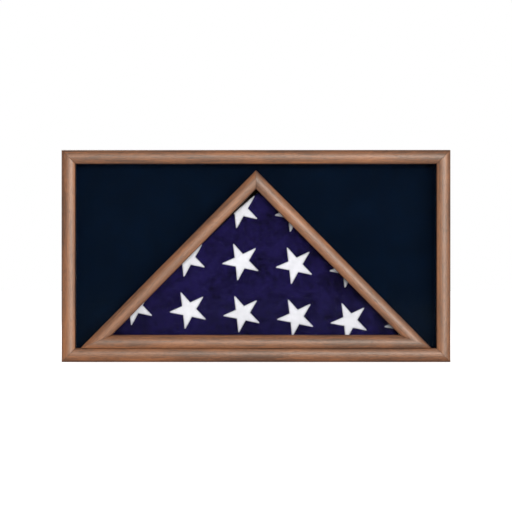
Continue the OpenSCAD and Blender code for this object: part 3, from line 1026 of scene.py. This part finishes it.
def stitch_tree():
    """Short stitches across a border line, each square to the line and standing on the cloth."""
    t = Tree("Border stitches", Pitch="Float", Stitch="Object", Material="Material")
    align = "FunctionNodeAlignRotationToVector"
    line = t.out("MeshToCurve", {"Mesh": t.given["Geometry"]})
    spaced = t.out("ResampleCurve", {"Curve": line, "Length": t.given["Pitch"]}, mode="LENGTH")
    normal = t.out("InputNamedAttribute", {"Name": "out"}, data_type="FLOAT_VECTOR")
    first = t.out(align, {"Vector": normal}, axis="Z")
    turned = t.out(align, {"Rotation": first, "Vector": t.out("InputTangent")}, axis="X", pivot_axis="Z")
    shape = t.out("ObjectInfo", {"Object": t.given["Stitch"]}, "Geometry")
    return t.copies(spaced, shape, Rotation=turned)


def stitch_mesh(material):
    """One stitch: a short arched thread across x = 0."""
    half, r, low, high = 0.85 * MM, 0.3 * MM, -0.3, 0.5
    points = [
        (r * math.cos(turn), y, r * (lift + 0.8 * math.sin(turn)))
        for y, lift in ((-half, low), (-0.6 * half, high), (0.6 * half, high), (half, low))
        for turn in (0, math.pi / 2, math.pi, 1.5 * math.pi)
    ]
    obj = mesh_object("stitch", points, tube(4, 4), material)
    obj.hide_render = True
    return obj


def land(surface, x, z, facing, lift):
    """The point of the cloth under (x, z) as seen from the front or the rear, and its normal."""
    away = 0.1
    start = Vector((x, FLAG[0].y - away if facing > 0 else FLAG[1].y + away, z))
    hit, normal, _, _ = surface.ray_cast(start, BACK * facing)
    if hit is None:
        hit, normal, _, _ = surface.find_nearest(Vector((x, start.y, z)))
    return hit + normal * lift, normal


def inside(point, outline, margin=0.0):
    """Whether a point is within a convex outline that runs anticlockwise."""
    for a, b in zip(outline, np.roll(outline, -1, axis=0)):
        edge = b - a
        if edge[0] * (point[1] - a[1]) - edge[1] * (point[0] - a[0]) < margin * math.hypot(*edge):
            return False
    return True


def star_patch(star, outline, surface, facing):
    """A star cut where the cloth folds away, in small faces laid on the cloth."""
    centre = sum(star, Vector((0, 0))) / len(star)
    reach = max((p - centre).length for p in star)
    if not inside(centre, outline, -reach):
        return None
    bm = flat_face(star)
    for a, b in zip(outline, np.roll(outline, -1, axis=0)):
        edge = b - a
        normal = Vector((edge[1], -edge[0], 0)).normalized()
        if abs(normal.dot(Vector((centre.x - a[0], centre.y - a[1], 0)))) < reach:
            cut(bm, (a[0], a[1], 0), normal, clear_outer=True)
    cut_up(bm, [c - reach for c in centre], [c + reach for c in centre], 2 * MM)
    bmesh.ops.remove_doubles(bm, verts=bm.verts, dist=0.02 * MM)
    if not bm.faces:
        bm.free()
        return None
    for v in bm.verts:
        v.co, _ = land(surface, v.co.x, v.co.y, facing, bpy.context.scene.case_flag.applique)
    for face in bm.faces:
        face.normal_update()
    bmesh.ops.reverse_faces(bm, faces=[face for face in bm.faces if face.normal.y * facing > 0])
    return pour(bm, bpy.data.meshes.new("patch"))


def star_border(star, outline, surface, facing):
    """Lines a little inside the star's edge, where the stitches go, as points with normals."""
    lift = bpy.context.scene.case_flag.applique
    centre = sum(star, Vector((0, 0))) / len(star)
    lines, steps, inset, margin = [[]], 20, 0.5, 0.3 * MM
    for a, b in zip(star, star[1:] + star[:1]):
        for t in np.linspace(0, 1, steps, endpoint=False):
            p = a.lerp(b, t)
            p = p + (centre - p).normalized() * inset * MM
            if inside(p, outline, margin):
                lines[-1].append(land(surface, p.x, p.y, facing, lift))
            elif lines[-1]:
                lines.append([])
    return [line for line in lines if len(line) > 2]


def joined(name, meshes, material):
    """Several meshes as one object."""
    bm = bmesh.new()
    for mesh in meshes:
        bm.from_mesh(mesh)
        bpy.data.meshes.remove(mesh)
    return shown(name, pour(bm, bpy.data.meshes.new(name)), material)


def polylines(name, lines):
    """Edges along lines of points, with each point's normal kept as the attribute out."""
    points, normals, edges = [], [], []
    for line in lines:
        for k, (point, normal) in enumerate(line):
            if k:
                edges.append((len(points) - 1, len(points)))
            points.append(tuple(point))
            normals += list(normal)
    mesh = bpy.data.meshes.new(name)
    mesh.from_pydata(points, edges, [])
    mesh.attributes.new("out", "FLOAT_VECTOR", "POINT").data.foreach_set("vector", normals)
    return linked(name, mesh)


# ---- rear hardware ----------------------------------------------------------


def cut_plate(name, outline, hole, thick, edge, material):
    """A flat plate in XY, from z = 0 up to thick, with rounded edges and a hole."""
    curve = bpy.data.curves.new(name, "CURVE")
    curve.dimensions = "2D"
    curve.fill_mode = "BOTH"
    for loop in (outline, hole):
        line = curve.splines.new("POLY")
        line.points.add(len(loop) - 1)
        line.use_cyclic_u = True
        for point, (x, y) in zip(line.points, loop):
            point.co = (x, y, 0, 1)
    curve.extrude = thick / 2 - edge
    curve.bevel_depth = edge
    curve.bevel_resolution = 2
    curve.offset = -edge
    trial = linked(name, curve)
    mesh = evaluated(trial)
    bpy.data.objects.remove(trial)
    bm = bmesh.new()
    bm.from_mesh(mesh)
    bmesh.ops.remove_doubles(bm, verts=bm.verts, dist=0.004 * MM)
    bmesh.ops.translate(bm, verts=bm.verts, vec=(0, 0, thick / 2))
    bmesh.ops.recalc_face_normals(bm, faces=bm.faces)
    return sharpen(shown(name, pour(bm, mesh), material), 40)


def circle(r, sides):
    """Points of a circle in XY."""
    turns = np.linspace(0, 2 * math.pi, sides, endpoint=False)
    return [(r * math.cos(a), r * math.sin(a)) for a in turns]


def cross(reach, width):
    """Outline of a cross-shaped driver recess."""
    quarter = [(reach, -width / 2), (reach, width / 2), (width / 2, width / 2)]
    out = []
    for k in range(4):
        c, d = math.cos(k * math.pi / 2), math.sin(k * math.pi / 2)
        out += [(c * x - d * y, d * x + c * y) for x, y in quarter]
    return out


def screw_head(name, r, high, dome, reach, shank_r, shank, material, taper=0.0):
    """A screw along Z with its head on z = 0, a domed or flat top and a cross recess.

    taper is the share by which the head narrows towards its foot."""
    head = cut_plate(name, circle(r, 40), cross(reach, 0.36 * reach), high, 0.25 * high, material)
    bm = bmesh.new()
    bm.from_mesh(head.data)
    bmesh.ops.subdivide_edges(bm, edges=[e for e in bm.edges if e.calc_length() > 0.4 * r], cuts=2)
    for v in bm.verts:
        rise = v.co.z / high
        v.co.z += dome * max(0.0, 1 - (v.co.x**2 + v.co.y**2) / r**2) * rise
        v.co.xy *= 1 - taper * (1 - rise)
    profile = [
        (0.02 * r, 0.3 * high), (0.98 * reach, 0.45 * high), (shank_r, 0.2 * high),
        (shank_r, -shank + shank_r), (0.1 * shank_r, -shank),
    ]
    sides = 24
    verts = [bm.verts.new((x, y, h)) for radius, h in profile for x, y in circle(radius, sides)]
    for face in tube(len(profile), sides):
        bm.faces.new([verts[k] for k in face])
    bmesh.ops.recalc_face_normals(bm, faces=bm.faces)
    pour(bm, head.data)
    return sharpen(head, 40)


def screw_tree():
    """Copies of one screw on the mesh's points, each turned by its own angle."""
    t = Tree("Screws", Screw="Object", Seed="Int", Material="Material")
    shape = t.out("ObjectInfo", {"Object": t.given["Screw"]}, "Geometry")
    turn = t.out("FunctionNodeRandomValue", {"Max": math.pi, "Seed": t.given["Seed"]}, 1, data_type="FLOAT")
    spin = t.out("ShaderNodeCombineXYZ", {"Z": turn})
    toward, own = (
        t.out("FunctionNodeEulerToRotation", {0: euler}) for euler in ((-math.pi / 2, 0, 0), spin)
    )
    both = t.out("FunctionNodeRotateRotation", {0: toward, 1: own}, rotation_space="LOCAL")
    return t.copies(t.given["Geometry"], shape, Rotation=both)


def pivots():
    """The turn buttons' names, with each one's pivot, its direction at rest, its width and its reach."""
    out = {}
    directions = {
        "top_left": (1, 0), "top_right": (1, 0), "bottom_left": (-1, 0), "bottom_right": (-1, 0),
        "left": (0, 1), "right": (0, -1),
    }
    for word, (dx, dz) in directions.items():
        low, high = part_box(f"turn_button_{word}")
        size = high - low
        width = min(size.x, size.z)
        pivot = Vector((
            (low.x if dx > 0 else high.x) + dx * width / 2 if dx else (low.x + high.x) / 2,
            low.y,
            (low.z if dz > 0 else high.z) + dz * width / 2 if dz else (low.z + high.z) / 2,
        ))
        out[word] = (pivot, Vector((dx, 0, dz)), width, max(size.x, size.z) - width, size.y)
    return out


class CASE_OT_hardware(bpy.types.Operator):
    """Builds the turn buttons and screws, and finishes the hangers and bumpers"""

    bl_idname = "flag_case.hardware"
    bl_label = "Rear hardware"

    def execute(self, context):
        h = context.scene.case_hardware
        brass = metal("brass", h.brass, 0.28, (0.30, 0.17, 0.06))
        plated = metal("plated_steel", h.plated, 0.25, (0.32, 0.25, 0.15))
        sides = ("left", "right")
        dress(plated, *(f"hanger_{part}_{side}" for part in ("strap", "ring") for side in sides))
        dress(rubber("black_rubber"), *(f"wall_bumper_{side}" for side in sides))
        buttons = pivots()
        for word, sizes in buttons.items():
            self.button(word, *sizes, h.edge, brass)
        tree, level, shank_r = screw_tree(), 0.05 * MM, 1.3 * MM

        low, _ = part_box("turn_button_screws")
        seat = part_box("turn_button_top_left")[1].y
        head = screw_head("pan_screw", 3.2 * MM, 1.5 * MM, 0.35 * MM, 1.7 * MM, shank_r, seat - low.y, brass)
        at = [pivot.xz for pivot, *_ in buttons.values()]
        self.screws("button", at, seat + level, head, tree, 3, brass, "case", "brass", "turn_button_screws")

        # countersunk through the back panel, level with its face
        low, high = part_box("panel_screws")
        at, radius = islands("panel_screws")
        seat = high.y - 1.0 * MM
        shank = high.y - low.y - 1.0 * MM
        head = screw_head(
            "flat_screw", radius - level, 1.0 * MM, 0.0, 1.9 * MM, shank_r, shank, plated, taper=0.25
        )
        self.screws("back", at, seat, head, tree, 5, plated, "back", "plated_steel", "panel_screws")

        low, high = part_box("hanger_screws")
        at, radius = islands("hanger_screws")
        tall, dome = 1.3 * MM, 0.3 * MM
        seat = high.y - tall - dome
        head = screw_head("hanger_screw", radius, tall, dome, 1.5 * MM, 1.2 * MM, seat - low.y, plated)
        self.screws("strap", at, seat, head, tree, 7, plated, "case", "plated_steel", "hanger_screws")
        return {"FINISHED"}

    def button(self, word, pivot, along, width, reach, thick, edge, material):
        """A stamped plate with round ends, drilled for its screw."""
        r, quarter = width / 2, math.pi / 2
        outline = [
            (x + r * math.cos(a), r * math.sin(a))
            for x, start in ((reach, -quarter), (0.0, quarter))
            for a in np.linspace(start, start + math.pi, 17)
        ]
        obj = cut_plate(f"button_plate_{word}", outline, circle(1.75 * MM, 24), thick, edge, material)
        obj.data.transform(placed(pivot, along, along.cross(-BACK), BACK))
        hand_in(obj, f"button_{word}", "brass", f"turn_button_{word}")

    def screws(self, word, spots, y, shape, tree, seed, material, body, slot, node):
        """Copies of a screw with their heads standing on the plane y, joined as one piece."""
        mesh = bpy.data.meshes.new(f"{word}_screws")
        mesh.from_pydata([(x, y, z) for x, z in spots], [], [])
        obj = linked(f"{word}_screws", mesh)
        sharpen(apply_tree(obj, tree, Screw=shape, Seed=seed, Material=material), 40)
        bpy.data.objects.remove(shape)
        hand_in(obj, body, slot, node)


def islands(node):
    """Middles in XZ of the round solids that a node holds, in order, and the first one's radius."""
    found, apart = [], 12 * MM
    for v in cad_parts[node].data.vertices:
        spot = v.co.xz
        for group in found:
            if (group[0] - spot).length < apart:
                group.append(spot)
                break
        else:
            found.append([spot])
    out = []
    for group in found:
        xs, zs = [p.x for p in group], [p.y for p in group]
        middle = Vector(((min(xs) + max(xs)) / 2, (min(zs) + max(zs)) / 2))
        out.append((middle, (max(xs) - min(xs)) / 2))
    out.sort(key=lambda item: tuple(item[0]))
    return [middle for middle, _ in out], out[0][1]


# ---- stage ------------------------------------------------------------------


class CASE_OT_stage(bpy.types.Operator):
    """Sets the pale floor, the studio light and the camera"""

    bl_idname = "flag_case.stage"
    bl_label = "Stage"

    def execute(self, context):
        st = context.scene.case_stage
        scene = context.scene
        middle, far = Vector((0, 0, CASE_TOP / 2)), 9
        corners = [(-far, -far, 0), (far, -far, 0), (far, far, 0), (-far, far, 0)]
        mesh_object("floor", corners, [(0, 1, 2, 3)], pale_floor("pale_floor"))
        self.lamp("key", middle, 19, 5, 6.0, (2.0, 1.2), st.key)
        self.lamp("upper", middle, 4, 11, 6.0, (1.6, 0.9), st.upper)
        self.lamp("rear", middle, 205, 40, 2.4, (1.4, 1.4), st.rear)
        scene.world = bpy.data.worlds.new("studio")
        scene.world.use_nodes = True
        room = Graph(scene.world.node_tree)
        sky = room.tree.nodes["Background"].inputs
        seen = room.out("LightPath", output="Is Camera Ray")
        room.plug(sky["Color"], (1, 1, 1, 1))
        room.plug(sky["Strength"], room.fit(seen, 0.0, 1.0, st.sky, 1.0))
        camera = bpy.data.cameras.new("camera")
        camera.sensor_width = 36
        camera.lens = camera.sensor_width * st.distance / st.view_w
        camera.clip_end = 50
        eye = linked("camera", camera)
        eye.location = (0, FRONT_Y - st.distance, middle.z)
        eye.rotation_euler = (math.pi / 2, 0, 0)
        scene.camera = eye
        scene.view_settings.view_transform = "Standard"
        return {"FINISHED"}

    def lamp(self, name, target, azimuth, elevation, distance, size, power):
        """A soft light of (width, height), placed by its angles in degrees from the front."""
        a, e = math.radians(azimuth), math.radians(elevation)
        back = Vector((math.sin(a) * math.cos(e), -math.cos(a) * math.cos(e), math.sin(e)))
        light = bpy.data.lights.new(name, "AREA")
        light.shape = "RECTANGLE"
        light.size, light.size_y = size
        light.energy = power
        obj = linked(name, light)
        obj.location = target + back * distance
        obj.rotation_euler = back.to_track_quat("Z", "Y").to_euler()


class CASE_PT_panel(bpy.types.Panel):
    """Lists the pieces and their settings"""

    bl_label = "Flag case"
    bl_idname = "CASE_PT_panel"
    bl_space_type = "VIEW_3D"
    bl_region_type = "UI"
    bl_category = "Flag case"

    def draw(self, context):
        for operator in OPERATORS:
            self.layout.operator(operator.bl_idname)
        for name, kind in SETTINGS.items():
            box = self.layout.box()
            for key in kind.__annotations__:
                box.prop(getattr(context.scene, name), key)


OPERATORS = (
    CASE_OT_rails, CASE_OT_boards, CASE_OT_velvet, CASE_OT_flag, CASE_OT_hardware, CASE_OT_stage,
)
CLASSES = (*SETTINGS.values(), *OPERATORS, CASE_PT_panel)


def register():
    for kind in CLASSES:
        bpy.utils.register_class(kind)
    for name, kind in SETTINGS.items():
        setattr(bpy.types.Scene, name, PointerProperty(type=kind))


def unregister():
    for name in SETTINGS:
        delattr(bpy.types.Scene, name)
    for kind in reversed(CLASSES):
        bpy.utils.unregister_class(kind)


def main():
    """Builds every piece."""
    register()
    bpy.ops.flag_case.rails()
    bpy.ops.flag_case.boards()
    bpy.ops.flag_case.velvet()
    bpy.ops.flag_case.flag()
    bpy.ops.flag_case.hardware()
    bpy.ops.flag_case.stage()


if __name__ == "__main__":
    main()
